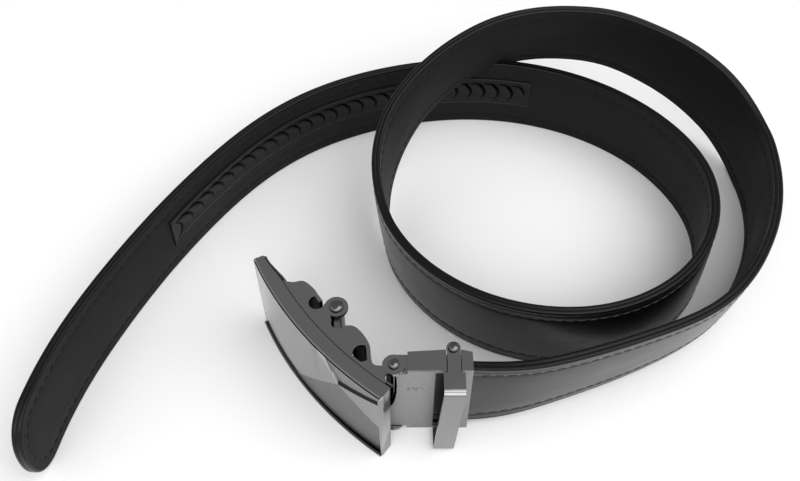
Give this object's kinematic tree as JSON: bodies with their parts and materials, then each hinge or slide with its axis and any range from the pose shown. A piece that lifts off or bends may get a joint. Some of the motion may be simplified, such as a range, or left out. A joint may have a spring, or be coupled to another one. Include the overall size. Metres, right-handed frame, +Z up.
{
  "type": "ratchet belt",
  "caption": "Leather ratchet belt standing on its edge in two loose loops, with a toothed strip inside its tail and an open slide buckle on a hinged clamp.",
  "frame": {"origin": "on the floor, below the centre of the belt's bounding box as it stands", "axes": "+Z up off the floor, +X to the right of the picture, +Y away from the camera"},
  "size_m": [0.2712, 0.1892, 0.0656],
  "materials": {
    "leather": "smooth satin black",
    "nylon": "moulded, slightly glossy",
    "cast_metal": "cast, fine grained",
    "polished_metal": "polished dark nickel with one brushed facet",
    "steel": "turned, polished heads"
  },
  "bodies": {
    "belt": {"strap": "leather", "ratchet_track": "nylon", "clamp_body": "cast_metal", "keeper": "polished_metal", "keeper_pin": "steel", "hinge_pin": "steel"},
    "buckle": {"buckle_frame": "polished_metal", "face_plate": "polished_metal", "pawl_pin": "steel"},
    "pawl": {"pawl": "steel"}
  },
  "joints": [
    {"name": "buckle_hinge", "type": "hinge", "parent": "belt", "child": "buckle", "pos_m": [-0.01592, -0.0702, 0.0195], "axis": [0, 0, 1], "range_deg": [-35, 50]},
    {"name": "pawl_hinge", "type": "hinge", "parent": "buckle", "child": "pawl", "pos_m": [-0.03523, -0.04795, 0.0195], "axis": [0, 0, 1], "range_deg": [0, 18], "stiffness_Nm_per_rad": 0.05}
  ]
}
